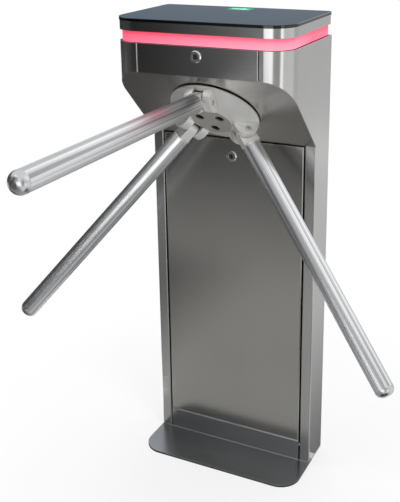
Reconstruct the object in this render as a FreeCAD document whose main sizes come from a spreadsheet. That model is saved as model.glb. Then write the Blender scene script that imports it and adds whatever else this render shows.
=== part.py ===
"""Tripod turnstile: sheet-steel column and head, a sloped face with a three-arm rotor, and its mechanism.

Millimetres. The origin is on the floor, midway between the anchor holes under the column.
+X is to the right of someone facing the turnstile, -Y is its front and +Z is up.
"""
import FreeCAD, Part
import math
import os
import re
import Sketcher
from FreeCAD import Placement, Rotation, Vector

SIZES = {
    # cabinet
    "width": 380,
    "column_depth": 80,
    "head_depth": 240,
    "slope_foot": 754,
    "head_top": 972,
    "wall": 2,
    "corner_radius": 50,
    "rear_radius": 10,
    "fit_gap": 0.1,
    "fold_radius": 2.5,
    "seam_round": 1.5,
    "back_fold": 15,
    # base plate
    "base_thickness": 5,
    "base_reach": 108,
    "base_corner": 46,
    "anchor_span_x": 300,
    "anchor_span_y": 40,
    "anchor_hole": 14,
    "cable_hole": 40,
    # column front
    "return_width": 23.5,
    "jamb_depth": 16,
    "door_gap": 3,
    "door_seat": 0.3,
    "door_fold": 14,
    "kick_top": 55,
    "door_lock_drop": 41,
    "lintel_drop": 26,
    "lintel_depth": 18,
    # head front
    "seam_inset": 60,
    "seam_gap": 1,
    "seam_lap": 9,
    "head_lock_drop": 19,
    # key locks
    "lock_flange_radius": 12,
    "lock_flange_height": 3,
    "lock_bevel": 1.5,
    "lock_body_radius": 9,
    "lock_length": 22,
    "plug_radius": 6,
    "plug_sink": 0.6,
    "running_gap": 0.05,
    "keyway_width": 1.6,
    "keyway_height": 8,
    "keyway_depth": 10,
    "cam_thickness": 3,
    "cam_width": 16,
    "cam_gap": 0.3,
    "door_cam_length": 35,
    "head_cam_length": 24.5,
    "cam_tip_depth": 8.7,
    # lid
    "lid_gap": 0.5,
    "band_height": 22.5,
    "band_inset": 5,
    "band_wall": 4,
    "strip_gap": 0.5,
    "strip_thickness": 1.6,
    "strip_height": 18,
    "tray_thickness": 2,
    "rim_height": 19,
    "rim_wall": 2,
    "rim_ledge": 8,
    "glass_thickness": 6,
    "glass_overhang": 1,
    "glass_bevel": 0.8,
    "light_width": 52,
    "light_depth": 30,
    "light_thickness": 2,
    "light_setback": 32,
    "reader_width": 90,
    "reader_depth": 60,
    "reader_height": 10,
    "reader_front": 50,
    "catch_width": 14,
    "catch_foot": 8,
    "catch_reach": 35,
    "catch_drop": 3,
    # lid hinges
    "hinge_span": 220,
    "hinge_length": 40,
    "hinge_radius": 4,
    "hinge_pin_radius": 2,
    "hinge_offset": 5,
    "hinge_middle": 13,
    "hinge_play": 0.5,
    "leaf_thickness": 1.5,
    "leaf_height": 21,
    "leaf_clear": 2,
    # rotor hub
    "hub_drop": 5.5,
    "hub_hole_radius": 91,
    "flange_radius": 94.5,
    "flange_low": 2.5,
    "flange_top": 6,
    "face_radius": 42,
    "face_height": 26.5,
    "ear_radius": 27,
    "ear_centre": 66,
    "ear_height": 13.5,
    "ear_thickness": 17,
    "slot_width": 23,
    "slot_radius": 18.6,
    "pin_centre": 73,
    "pin_height": 26,
    "pin_radius": 6,
    "pin_proud": 0.4,
    "screw_circle": 25.5,
    "screw_radius": 4,
    "screw_hole_radius": 4.2,
    "screw_head_radius": 6.5,
    "screw_head_height": 8,
    "screw_socket": 3.2,
    "screw_socket_depth": 4,
    "counterbore_radius": 9,
    "counterbore_depth": 10,
    # arms
    "arm_length": 576,
    "tube_radius": 19,
    "tube_wall": 1.5,
    "tongue_width": 21,
    "tongue_radius": 18,
    "tongue_length": 25,
    "collar_length": 3,
    "spigot_length": 40,
    "cap_skirt": 1,
    "cap_flat": 4,
    "cap_plug": 20,
    # shaft and bearings, depths measured inward from the slope's face
    "shaft_flange_radius": 36,
    "shaft_flange_thickness": 8,
    "hub_recess": 6,
    "shaft_collar_radius": 20,
    "shaft_radius": 15,
    "shaft_tail_radius": 14,
    "shaft_tail": 130,
    "plate_depth": 30,
    "plate_thickness": 6,
    "plate_margin": 5,
    "plate_length": 180,
    "housing_flange_radius": 62,
    "housing_flange": 8,
    "housing_radius": 40,
    "housing_length": 64,
    "housing_land": 27,
    "housing_bolt_circle": 51,
    "bearing_radius": 31,
    "bearing_width": 16,
    "bearing_sink": 2,
    "race_thickness": 3.2,
    "ball_radius": 4.5,
    "ball_count": 9,
    "cage_width": 3,
    "cage_thickness": 2.4,
    # rear of the shaft
    "disc_radius": 55,
    "disc_thickness": 8,
    "disc_depth": 92,
    "notch_width": 20,
    "notch_depth": 10,
    "gear_module": 2.5,
    "main_teeth": 48,
    "crank_teeth": 16,
    "pressure_angle": 25,
    "gear_backlash": 0.3,
    "mesh_play": 0.1,
    "gear_width": 12,
    "gear_boss_radius": 22,
    "gear_boss": 4,
    "nut_radius": 20,
    "nut_length": 12,
    # centring crank and spring
    "crank_angle": 20,
    "crank_width": 10,
    "crank_disc_radius": 17,
    "crank_disc": 6,
    "crank_throw": 12,
    "crank_pin_radius": 3,
    "crank_pin_length": 12,
    "axle_radius": 6,
    "axle_tail": 3,
    "spring_radius": 5,
    "spring_wire": 1.2,
    "spring_length": 50,
    "eye_width": 3,
    "eye_gap": 0.3,
    # locking pawls and solenoids, in each pawl's radial and tangential directions
    "pawl_circle": 72,
    "pawl_lead": 30,
    "pawl_tail": 36,
    "pawl_width": 10,
    "pawl_boss": 9,
    "pawl_pin_radius": 4,
    "tooth_width": 8,
    "tooth_gap": 1.5,
    "pin_tail": 2,
    "solenoid_gap": 18,
    "solenoid_length": 40,
    "solenoid_width": 30,
    "pedestal_width": 24,
    "plunger_radius": 5,
    "plunger_gap": 0.5,
    "plunger_length": 44,
    "plunger_offset": 30,
    # brackets and bolts
    "bracket_flange": 28,
    "bracket_wall": 3,
    "bracket_depth": 50,
    "bracket_length": 120,
    "bolt_radius": 4,
    "bolt_clearance": 0.2,
    "bolt_head_radius": 7.5,
    "bolt_head_height": 5.5,
    "bolt_spacing": 80,
    "bolt_inset": 12,
    # electronics in the column
    "board_width": 160,
    "board_height": 120,
    "board_thickness": 1.6,
    "board_level": 520,
    "standoff_length": 10,
    "standoff_radius": 3,
    "standoff_inset": 6,
    "relay_height": 15,
    "terminal_height": 12,
    "supply_width": 130,
    "supply_height": 160,
    "supply_depth": 36,
    "supply_level": 250,
}

os.makedirs("parts", exist_ok=True)
doc = FreeCAD.newDocument("tripod_turnstile")
sheet = doc.addObject("Spreadsheet::Sheet", "Sizes")
for row, (alias, value) in enumerate(SIZES.items(), 1):
    sheet.set(f"A{row}", alias)
    sheet.set(f"B{row}", str(value))
    sheet.setAlias(f"B{row}", alias)
doc.recompute()
size = {alias: float(sheet.get(alias)) for alias in SIZES}
nodes = {}

# Places that several pieces share, as expressions in the sheet's values
SIDE = "width/2"
INNER_SIDE = "(width/2 - wall)"
BACK = "column_depth/2"
FRONT = "(-column_depth/2)"
HEAD_FRONT = "(column_depth/2 - head_depth)"
SLOPE_TOP = "(slope_foot + head_depth - column_depth)"
SEAM = "(width/2 - seam_inset)"
DOOR_HALF = "(width/2 - return_width - door_gap)"
DOOR_LOW = "(kick_top + door_seat)"
DOOR_HIGH = "(slope_foot - door_gap)"
DOOR_LOCK = "(slope_foot - door_lock_drop)"
HEAD_LOCK = "(head_top - head_lock_drop)"
BAND_LOW = "(head_top + lid_gap)"
BAND_HIGH = "(head_top + lid_gap + band_height)"
RIM_HIGH = "(head_top + lid_gap + band_height + rim_height)"
GLASS_HIGH = "(head_top + lid_gap + band_height + rim_height + glass_thickness)"
EAR_HALF = "(slot_width/2 + ear_thickness)"
PLATE_SIDE = f"({INNER_SIDE} - plate_margin)"
PLATE_BACK = "(-plate_depth - plate_thickness)"
DISC_BACK = "(-disc_depth - disc_thickness)"
GEAR_BACK = "(-disc_depth - disc_thickness - gear_boss - gear_width)"
HOUSING_FRONT = "(housing_flange - plate_depth)"

# Frames of the slope, at the middle of its face, and of the rotor, whose axis leaves it at right angles
TRIPOD = 3
SLOPE = Placement(
    Vector(0, -size["head_depth"] / 2,
           size["slope_foot"] + (size["head_depth"] - size["column_depth"]) / 2),
    Rotation(Vector(1, 0, 0), 135))
HUB = SLOPE * Placement(Vector(0, -size["hub_drop"], 0), Rotation())


def about_axis(angle):
    """A turn about the rotor's own axis."""
    return Placement(Vector(), Rotation(Vector(0, 0, 1), angle))


def arm_pivot(lean):
    """At the top arm's hinge pin, with Z leaning from the rotor's axis towards the arm."""
    return Placement(Vector(0, size["pin_centre"], size["pin_height"]), Rotation(Vector(1, 0, 0), -lean))


# Helpers that make bound objects
def ref(text):
    """The text with each alias written as a reference to the sheet."""
    return re.sub(r"[a-z][a-z_]*", lambda m: f"Sizes.{m[0]}" if m[0] in SIZES else m[0], str(text))


def bind_base(obj, x, y, z):
    for axis, text in zip("xyz", (x, y, z)):
        obj.setExpression(f".Placement.Base.{axis}", ref(text))


def box(x, y, z):
    """A block between a low and a high expression on each axis."""
    solid = doc.addObject("Part::Box", "Block")
    for side, (low, high) in zip(("Length", "Width", "Height"), (x, y, z)):
        solid.setExpression(side, ref(f"({high}) - ({low})"))
    bind_base(solid, x[0], y[0], z[0])
    return solid


def rod(radius, along, low, high, a=0, b=0):
    """A cylinder along one axis, with its other two coordinates a and b in X, Y, Z order."""
    solid = doc.addObject("Part::Cylinder", "Rod")
    solid.setExpression("Radius", ref(radius))
    solid.setExpression("Height", ref(f"({high}) - ({low})"))
    turn = {"x": Rotation(Vector(0, 1, 0), 90), "y": Rotation(Vector(1, 0, 0), -90), "z": Rotation()}
    solid.Placement = Placement(Vector(), turn[along])
    bind_base(solid, *{"x": (low, a, b), "y": (a, low, b), "z": (a, b, low)}[along])
    return solid


def hexagon(radius, low, high, x=0, y=0):
    """A hexagonal prism along Z, with its corners at the radius."""
    solid = doc.addObject("Part::Prism", "Hexagon")
    solid.Polygon = 6
    solid.setExpression("Circumradius", ref(radius))
    solid.setExpression("Height", ref(f"({high}) - ({low})"))
    bind_base(solid, x, y, low)
    return solid


def joined(kind, parts):
    obj = doc.addObject(kind, kind.split("::")[1])
    obj.Shapes = list(parts)
    obj.Refine = True
    return obj


def fuse(*parts):
    return joined("Part::MultiFuse", parts)


def common(*parts):
    return joined("Part::MultiCommon", parts)


def cut(base, *tools):
    obj = doc.addObject("Part::Cut", "Cut")
    obj.Base = base
    obj.Tool = tools[0] if len(tools) == 1 else fuse(*tools)
    obj.Refine = True
    return obj


def rounded(base, radius, wanted):
    """Rounds the straight edges whose box passes the test, as a fold of the sheet does."""
    doc.recompute()
    fillet = doc.addObject("Part::Fillet", "Fold")
    fillet.Base = base
    straight = [(i, edge.BoundBox) for i, edge in enumerate(base.Shape.Edges, 1)
                if edge.Curve.TypeId == "Part::GeomLine"]
    fillet.Edges = [(i, size[radius], size[radius]) for i, bounds in straight if wanted(bounds)]
    return fillet


def near(value, target):
    return abs(value - target) < 1e-4


def group(*parts):
    """Separate solids that are one named piece."""
    obj = doc.addObject("Part::Compound", "Group")
    obj.Links = list(parts)
    return obj


def placed(placement, *parts):
    """Solids that are moved together."""
    obj = group(*parts)
    obj.Placement = placement
    return obj


def mirrored(source):
    obj = doc.addObject("Part::Mirroring", "Mirrored")
    obj.Source = source
    obj.Normal = Vector(1, 0, 0)
    return obj


def outline(body, plane, points):
    """A closed sketch of straight lines, with each corner held by its two coordinates."""
    sketch = body.newObject("Sketcher::SketchObject", "Outline")
    sketch.AttachmentSupport = (next(f for f in body.Origin.OriginFeatures if f.Role == plane), "")
    sketch.MapMode = "FlatFace"
    count = len(points)
    turns = [2 * math.pi * i / count for i in range(count)]
    corners = [Vector(math.cos(turn), math.sin(turn), 0) for turn in turns]
    for i in range(count):
        sketch.addGeometry(Part.LineSegment(corners[i], corners[(i + 1) % count]), False)
    for i in range(count):
        sketch.addConstraint(Sketcher.Constraint("Coincident", i, 2, (i + 1) % count, 1))
    for i, point in enumerate(points):
        for kind, text, now in zip(("DistanceX", "DistanceY"), point, corners[i]):
            held = sketch.addConstraint(Sketcher.Constraint(kind, -1, 1, i, 1, now))
            sketch.setExpression(f"Constraints[{held}]", ref(text))
    return sketch


def turned(points):
    """A solid of revolution about Z, from an outline of radius and height."""
    body = doc.addObject("PartDesign::Body", "Turned")
    turn = body.newObject("PartDesign::Revolution", "Revolution")
    turn.Profile = outline(body, "XZ_Plane", points)
    turn.ReferenceAxis = (turn.Profile[0], ["V_Axis"])
    turn.Angle = 360
    doc.recompute()
    return body


def padded(points, low, high):
    """An outline in plan, raised between two heights."""
    body = doc.addObject("PartDesign::Body", "Padded")
    pad = body.newObject("PartDesign::Pad", "Pad")
    pad.Profile = outline(body, "XY_Plane", points)
    pad.setExpression("Length", ref(f"({high}) - ({low})"))
    bind_base(body, 0, 0, low)
    doc.recompute()
    return body


def dress(body, kind, wanted, radius):
    """A fillet or chamfer on the edges that the test picks."""
    base = body.Tip
    names = [f"Edge{i}" for i, edge in enumerate(base.Shape.Edges, 1) if wanted(edge)]
    feature = body.newObject(f"PartDesign::{kind}", kind)
    feature.Base = (base, names)
    feature.setExpression({"Fillet": "Radius", "Chamfer": "Size"}[kind], ref(radius))
    body.Tip = feature
    doc.recompute()
    return body


def upright(front):
    """Tests for the upright edges at the front or at the back of a plan."""
    def test(edge):
        stands = edge.BoundBox.ZLength > 0.9 * edge.Length
        return stands and (edge.BoundBox.YMax < 0) == front
    return test


def plan(inset, low, high, rear=True):
    """The head's outline in plan, drawn in from its outer face, with rounded front corners."""
    front, back, side = f"{HEAD_FRONT} + {inset}", f"{BACK} - ({inset})", f"({SIDE} - ({inset}))"
    body = padded([(f"-{side}", front), (side, front), (side, back), (f"-{side}", back)], low, high)
    dress(body, "Fillet", upright(True), f"corner_radius - ({inset})")
    if rear:
        dress(body, "Fillet", upright(False), f"max(rear_radius - ({inset}); fit_gap)")
    return body


def node(label, obj, placement=None):
    """Names a finished piece, and moves it from its own frame to its place."""
    obj.Label = label
    if placement:
        obj.Placement = placement
    nodes[label] = obj
    return obj


def slope_cutter():
    """All that lies outside the sloped face, down to its foot."""
    half = "(head_depth - column_depth)*sqrt(2)/2"
    return placed(SLOPE, box(("-width", "width"), (f"-{half}", f"{half} + head_depth"), (0, "head_depth")))


# Base plate: flush with the cabinet at its sides and back, with a rounded apron in front
def base_plate():
    front = f"{FRONT} - base_reach"
    body = padded([(f"-{SIDE}", front), (SIDE, front), (SIDE, BACK), (f"-{SIDE}", BACK)], 0, "base_thickness")
    dress(body, "Fillet", upright(True), "base_corner")
    through = ("-wall", "base_thickness + wall")
    holes = [rod("anchor_hole/2", "z", *through, f"{x}*anchor_span_x/2", f"{y}*anchor_span_y/2")
             for x in (-1, 1) for y in (-1, 1)]
    cable = rod("cable_hole/2", "z", *through)
    node("base_plate", cut(body, cable, *holes))


# Side panels: one sheet each from floor to lid, rolled round the head's front corner
def side_panels():
    outer = (f"-{SIDE}", f"-{INNER_SIDE}")
    round_y = f"{HEAD_FRONT} + corner_radius"
    head_z = ("slope_foot", "head_top")
    column_z = ("base_thickness", "slope_foot")
    flat = box(outer, (round_y, BACK), head_z)
    centre = (f"-{SIDE} + corner_radius", round_y)
    ring = cut(rod("corner_radius", "z", *head_z, *centre),
               rod("corner_radius - wall", "z", *head_z, *centre))
    corner = common(ring, box((f"-{SIDE}", centre[0]), (HEAD_FRONT, round_y), head_z))
    strip = box((centre[0], f"-{SEAM}"), (HEAD_FRONT, f"{HEAD_FRONT} + wall"), head_z)
    column = box(outer, (FRONT, BACK), column_z)
    edge = f"(-{SIDE} + return_width)"
    flange = box((f"-{SIDE}", edge), (FRONT, f"{FRONT} + wall"), column_z)
    jamb = box((f"{edge} - wall", edge), (FRONT, f"{FRONT} + jamb_depth"), column_z)
    front_y, head_y = -size["column_depth"] / 2, size["column_depth"] / 2 - size["head_depth"]
    seam_x = size["seam_inset"] - size["width"] / 2
    bent = fuse(column, flange, jamb)
    folded = rounded(bent, "fold_radius", lambda b: near(b.YMax, front_y) and near(b.XLength, 0))
    head = cut(fuse(flat, corner, strip), slope_cutter())
    edged = rounded(head, "seam_round", lambda b: near(b.YMax, head_y) and near(b.XMin, seam_x))
    left = fuse(edged, folded)
    node("left_side_panel", left)
    node("right_side_panel", mirrored(left))


# Back panel: a folded sheet between the sides
def back_panel():
    heights = ("base_thickness", "head_top")
    sheet_face = box((f"-{INNER_SIDE}", INNER_SIDE), (f"{BACK} - wall", BACK), heights)
    left_fold = box((f"-{INNER_SIDE}", f"-{INNER_SIDE} + wall"), (f"{BACK} - back_fold", BACK), heights)
    right_fold = box((f"{INNER_SIDE} - wall", INNER_SIDE), (f"{BACK} - back_fold", BACK), heights)
    node("back_panel", fuse(sheet_face, left_fold, right_fold))


# Slope panel: the sheet at 45 degrees that the rotor stands out of
def slope_panel():
    half = "(head_depth - column_depth)*sqrt(2)/2"
    slab = box((f"-{SIDE}", SIDE), (f"-{half}", half), ("-wall", 0))
    holed = cut(slab, rod("hub_hole_radius", "z", "-2*wall", "wall", 0, "-hub_drop"))
    holed.Placement = SLOPE
    inside = plan("(wall + fit_gap)", "slope_foot", "head_top", rear=False)
    node("slope_panel", common(holed, inside))


# Head front: a short panel between two seams, backed by a lap behind the side panels
def head_front_panel():
    half = f"({SEAM} - seam_gap)"
    blank = box((f"-{half}", half), (HEAD_FRONT, f"{HEAD_FRONT} + wall"),
                (f"{SLOPE_TOP} - corner_radius", "head_top"))
    face = cut(blank, slope_cutter())
    lap_half = f"({SEAM} + seam_lap)"
    lap = box((f"-{lap_half}", lap_half), (f"{HEAD_FRONT} + wall", f"{HEAD_FRONT} + 2*wall"),
              (f"{SLOPE_TOP} + 2*wall", "head_top - 2*wall"))
    hole = rod("lock_body_radius + fit_gap", "y", f"{HEAD_FRONT} - wall", f"{HEAD_FRONT} + 3*wall",
               0, HEAD_LOCK)
    front_y = size["column_depth"] / 2 - size["head_depth"]
    panel = cut(fuse(face, lap), hole)
    panel = rounded(panel, "seam_round", lambda b: near(b.YMax, front_y) and near(b.XLength, 0))
    node("head_front_panel", panel)


# Kick panel: the fixed strip under the door, with the ledge that the door stands on
def kick_panel():
    across = (f"-{DOOR_HALF}", DOOR_HALF)
    folded = (FRONT, f"{FRONT} + jamb_depth")
    face = box(across, (FRONT, f"{FRONT} + wall"), ("base_thickness", "kick_top"))
    ledge = box(across, folded, ("kick_top - wall", "kick_top"))
    foot = box(across, folded, ("base_thickness", "base_thickness + wall"))
    front_y, top = -size["column_depth"] / 2, size["kick_top"]
    panel = fuse(face, ledge, foot)
    node("kick_panel", rounded(panel, "fold_radius", lambda b: near(b.YMax, front_y) and near(b.ZMin, top)))


# Door lintel: the angle bar behind the door's top edge, which the door's lock cam turns up behind
def door_lintel():
    across = (f"-{INNER_SIDE}", INNER_SIDE)
    front = f"({FRONT} + jamb_depth)"
    leg = box(across, (front, f"{front} + wall"), ("slope_foot - lintel_drop", "slope_foot + 2*wall"))
    top = box(across, (front, f"{front} + lintel_depth"), ("slope_foot + wall", "slope_foot + 2*wall"))
    node("door_lintel", fuse(leg, top))


# Service door: a folded tray
def door_panel():
    across, up = (f"-{DOOR_HALF}", DOOR_HALF), (DOOR_LOW, DOOR_HIGH)
    deep = (FRONT, f"{FRONT} + door_fold")
    face = box(across, (FRONT, f"{FRONT} + wall"), up)
    folds = [
        box((f"-{DOOR_HALF}", f"-{DOOR_HALF} + wall"), deep, up),
        box((f"{DOOR_HALF} - wall", DOOR_HALF), deep, up),
        box(across, deep, (DOOR_LOW, f"{DOOR_LOW} + wall")),
        box(across, deep, (f"{DOOR_HIGH} - wall", DOOR_HIGH)),
    ]
    hole = rod("lock_body_radius + fit_gap", "y", f"{FRONT} - wall", f"{FRONT} + 2*wall", 0, DOOR_LOCK)
    front_y = -size["column_depth"] / 2
    node("door_panel", rounded(cut(fuse(face, *folds), hole), "fold_radius", lambda b: near(b.YMax, front_y)))


# Key lock: a flanged barrel, a plug with a keyway and a flat cam, with Z out of the panel
def key_lock(name, face_y, height, cam_length, bent):
    place = Placement(Vector(0, face_y, height), Rotation(Vector(1, 0, 0), 90))
    bore = "(plug_radius + running_gap)"
    barrel = turned([
        (bore, "-lock_length"), ("lock_body_radius", "-lock_length"), ("lock_body_radius", 0),
        ("lock_flange_radius", 0), ("lock_flange_radius", "lock_flange_height - lock_bevel"),
        ("lock_flange_radius - lock_bevel", "lock_flange_height"), (bore, "lock_flange_height")])
    node(f"{name}_lock_barrel", barrel, place)
    cam_front = "(-lock_length - cam_gap)"
    cam_back = f"({cam_front} - cam_thickness)"
    plug_front = "(lock_flange_height - plug_sink)"
    keyway = box(("-keyway_width/2", "keyway_width/2"), ("-keyway_height/2", "keyway_height/2"),
                 (f"{plug_front} - keyway_depth", "lock_flange_height"))
    node(f"{name}_lock_plug", cut(rod("plug_radius", "z", cam_back, plug_front), keyway), place)
    across = ("-cam_width/2", "cam_width/2")
    blade = box(("-cam_width/2", cam_length), across, (cam_back, cam_front))
    if bent:
        tip = box((f"{cam_length} - cam_thickness", cam_length), across,
                  (f"{cam_back} - cam_tip_depth", cam_front))
        blade = fuse(blade, tip)
    node(f"{name}_lock_cam", cut(blade, rod("plug_radius", "z", f"{cam_back} - wall", "0")), place)


def key_locks():
    half = size["column_depth"] / 2
    door_level = size["slope_foot"] - size["door_lock_drop"]
    head_level = size["head_top"] - size["head_lock_drop"]
    key_lock("door", -half, door_level, "door_cam_length", bent=False)
    key_lock("head", half - size["head_depth"], head_level, "head_cam_length", bent=True)


# Lid: light band, tray, steel rim and dark glass, hinged at the back
def lid():
    inner = "(band_inset + band_wall)"
    node("light_band", cut(plan("band_inset", BAND_LOW, BAND_HIGH),
                           plan(inner, f"{BAND_LOW} - wall", f"{BAND_HIGH} + wall")))
    strip, strip_in = f"({inner} + strip_gap)", f"({inner} + strip_gap + strip_thickness)"
    strip_low = f"{BAND_HIGH} - strip_height"
    node("light_strip", cut(plan(strip, strip_low, BAND_HIGH, rear=False),
                            plan(strip_in, f"{strip_low} - wall", f"{BAND_HIGH} + wall", rear=False)))
    node("lid_tray", plan("rim_wall", BAND_HIGH, f"{BAND_HIGH} + tray_thickness"))
    ledge_low = f"({RIM_HIGH} - rim_wall)"
    shell = cut(plan(0, BAND_HIGH, RIM_HIGH), plan("rim_wall", f"{BAND_HIGH} - wall", ledge_low))
    node("lid_rim", cut(shell, plan("rim_ledge", f"{ledge_low} - wall", f"{RIM_HIGH} + wall")))
    glass = plan("-glass_overhang", RIM_HIGH, GLASS_HIGH)
    top = size["glass_thickness"]
    dress(glass, "Chamfer", lambda edge: edge.BoundBox.ZMin > top - 1e-6, "glass_bevel")
    light_y = (f"{BACK} - light_setback - light_depth/2", f"{BACK} - light_setback + light_depth/2")
    light_x = ("-light_width/2", "light_width/2")
    light = box(light_x, light_y, (f"{GLASS_HIGH} - light_thickness", GLASS_HIGH))
    pocket = box(light_x, light_y, (f"{GLASS_HIGH} - light_thickness", f"{GLASS_HIGH} + wall"))
    node("lid_glass", cut(glass, pocket))
    node("indicator_light", light)
    reader_y = f"({HEAD_FRONT} + reader_front)"
    node("reader_module", box(("-reader_width/2", "reader_width/2"), (reader_y, f"{reader_y} + reader_depth"),
                              (f"{RIM_HIGH} - reader_height", RIM_HIGH)))
    catch_back = f"({HEAD_FRONT} + catch_reach + wall)"
    across = ("-catch_width/2", "catch_width/2")
    leg = box(across, (f"{catch_back} - wall", catch_back), ("head_top - catch_drop", BAND_HIGH))
    foot = box(across, (f"{catch_back} - catch_foot", catch_back), ("head_top - catch_drop", "head_top"))
    node("lid_catch", fuse(leg, foot))


# Lid hinges: two butt hinges on the outside of the back
def lid_hinges():
    axis_y, axis_z = f"({BACK} + hinge_offset)", f"(head_top + lid_gap/2)"
    leaf_y = (BACK, f"{BACK} + leaf_thickness")
    fixed, moving, pins = [], [], []
    for side in (-1, 1):
        middle = f"({side}*hinge_span/2)"
        whole = (f"{middle} - hinge_length/2", f"{middle} + hinge_length/2")
        inner = (f"{middle} - hinge_middle/2", f"{middle} + hinge_middle/2")
        ends = ((whole[0], f"{inner[0]} - hinge_play"), (f"{inner[1]} + hinge_play", whole[1]))
        plate = box(whole, leaf_y, (f"{axis_z} - hinge_radius - leaf_clear - leaf_height",
                                    f"{axis_z} - hinge_radius - leaf_clear"))
        tabs = [box(end, leaf_y, (f"{axis_z} - hinge_radius - leaf_clear", axis_z)) for end in ends]
        knuckles = [rod("hinge_radius", "x", *end, axis_y, axis_z) for end in ends]
        pin = rod("hinge_pin_radius", "x", *whole, axis_y, axis_z)
        fixed.append(cut(fuse(plate, *tabs, *knuckles), pin))
        strap = box(inner, leaf_y, (axis_z, f"{BAND_HIGH} + leaf_clear"))
        flap = box(whole, leaf_y, (f"{BAND_HIGH} + leaf_clear", f"{RIM_HIGH} - leaf_clear"))
        knuckle = rod("hinge_radius", "x", *inner, axis_y, axis_z)
        bore = rod("hinge_pin_radius + running_gap", "x", *whole, axis_y, axis_z)
        moving.append(cut(fuse(strap, flap, knuckle), bore))
        pins.append(pin)
    node("hinge_fixed_leaves", group(*fixed))
    node("hinge_moving_leaves", group(*moving))
    node("hinge_pins", group(*pins))


# Rotor hub: a shallow cone with a pair of round ears and a slot for each arm
def rotor_hub():
    cone = doc.addObject("Part::Cone", "Cone")
    cone.setExpression("Radius1", ref("flange_radius"))
    cone.setExpression("Radius2", ref("face_radius"))
    cone.setExpression("Height", ref("face_height - flange_top"))
    bind_base(cone, 0, 0, "flange_top")
    flange = rod("flange_radius", "z", "flange_low", "flange_top")
    solids, tools = [cone, flange], []
    slot = ("-slot_width/2", "slot_width/2")
    for number in range(TRIPOD):
        turn = about_axis(360 * number / TRIPOD)
        ears = [rod("ear_radius", "x", low, high, "ear_centre", "ear_height")
                for low, high in ((f"-{EAR_HALF}", slot[0]), (slot[1], EAR_HALF))]
        solids.append(placed(turn, *ears))
        swing = [rod("slot_radius", "x", *slot, "pin_centre", "pin_height")]
        for lean in (45, -45):
            channel = box(slot, ("-slot_radius", "slot_radius"), (0, "flange_radius"))
            swing.append(placed(arm_pivot(lean), channel))
        pin_hole = rod("pin_radius", "x", "-flange_radius", "flange_radius", "pin_centre", "pin_height")
        reach = box((f"-{EAR_HALF} - wall", f"{EAR_HALF} + wall"), ("face_radius", "flange_radius"),
                    (0, "flange_radius"))
        tools.append(placed(turn, fuse(*swing, common(pin_hole, reach))))
        seat = "(face_height - counterbore_depth)"
        screw = fuse(rod("counterbore_radius", "z", seat, "face_height + wall", 0, "screw_circle"),
                     rod("screw_hole_radius", "z", 0, "face_height", 0, "screw_circle"))
        tools.append(placed(about_axis(360 * (number + 0.5) / TRIPOD), screw))
    recess = rod("shaft_flange_radius", "z", 0, "flange_low + hub_recess")
    blank = common(fuse(*solids), rod("flange_radius", "z", "flange_low", "2*flange_radius"))
    node("rotor_hub", cut(blank, recess, *tools), HUB)


# Screws that hold the hub to the shaft, sunk in the hub's front face
def hub_screws():
    screws = []
    seat = "(face_height - counterbore_depth)"
    for number in range(TRIPOD):
        head = rod("screw_head_radius", "z", seat, f"{seat} + screw_head_height", 0, "screw_circle")
        socket = hexagon("screw_socket", f"{seat} + screw_head_height - screw_socket_depth", "face_height",
                         0, "screw_circle")
        shank = rod("screw_radius", "z", "flange_low", seat, 0, "screw_circle")
        screws.append(placed(about_axis(360 * (number + 0.5) / TRIPOD), cut(fuse(head, shank), socket)))
    node("hub_screws", group(*screws), HUB)


# Hinge pins of the arms, through both ears
def arm_pins():
    pins = []
    for number in range(TRIPOD):
        half = f"({EAR_HALF} + pin_proud)"
        pin = rod("pin_radius", "x", f"-{half}", half, "pin_centre", "pin_height")
        pins.append(placed(about_axis(360 * number / TRIPOD), pin))
    node("arm_pins", group(*pins), HUB)


# Arms: a tongue between the ears, a tube and a domed end cap, with Z along the arm from its pin
def arm(number):
    place = HUB * about_axis(360 * number / TRIPOD) * arm_pivot(45)
    name = f"arm_{number + 1}"
    half = ("-tongue_width/2", "tongue_width/2")
    tube_start = "(tongue_length + collar_length)"
    dome = "(tube_radius - cap_flat)"
    tube_end = f"(arm_length - {dome} - cap_skirt)"
    bore = "(tube_radius - tube_wall)"
    eye = rod("tongue_radius", "x", *half)
    bar = box(half, ("-tongue_radius", "tongue_radius"), (0, "tongue_length"))
    collar = rod("tube_radius", "z", "tongue_length", tube_start)
    spigot = rod(f"{bore} - running_gap", "z", tube_start, f"{tube_start} + spigot_length")
    hole = rod("pin_radius + running_gap", "x", "-tongue_width", "tongue_width")
    node(f"{name}_tongue", cut(fuse(eye, bar, collar, spigot), hole), place)
    node(f"{name}_tube", cut(rod("tube_radius", "z", tube_start, tube_end),
                             rod(bore, "z", "0", "arm_length")), place)
    plug = f"({bore} - running_gap)"
    cap = turned([(0, f"{tube_end} - cap_plug"), (plug, f"{tube_end} - cap_plug"), (plug, tube_end),
                  ("tube_radius", tube_end), ("tube_radius", "arm_length"), (0, "arm_length")])
    top = size["arm_length"]
    dress(cap, "Fillet", lambda edge: edge.BoundBox.ZMin > top - 1e-6, dome)
    node(f"{name}_cap", cap, place)


# Shaft: flanged at the hub, stepped for the bearings, the locking disc and the gear
def shaft():
    front = "(flange_low + hub_recess)"
    flange_back = f"({front} - shaft_flange_thickness)"
    collar_end = f"({HOUSING_FRONT} - bearing_sink)"
    body = turned([
        (0, front), ("shaft_flange_radius", front), ("shaft_flange_radius", flange_back),
        ("shaft_collar_radius", flange_back), ("shaft_collar_radius", collar_end),
        ("shaft_radius", collar_end), ("shaft_radius", "-disc_depth"), ("shaft_tail_radius", "-disc_depth"),
        ("shaft_tail_radius", "-shaft_tail"), (0, "-shaft_tail")])
    holes = []
    for number in range(TRIPOD):
        hole = rod("screw_radius", "z", 0, front, 0, "screw_circle")
        holes.append(placed(about_axis(360 * (number + 0.5) / TRIPOD), hole))
    node("shaft", cut(body, *holes), HUB)


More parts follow.
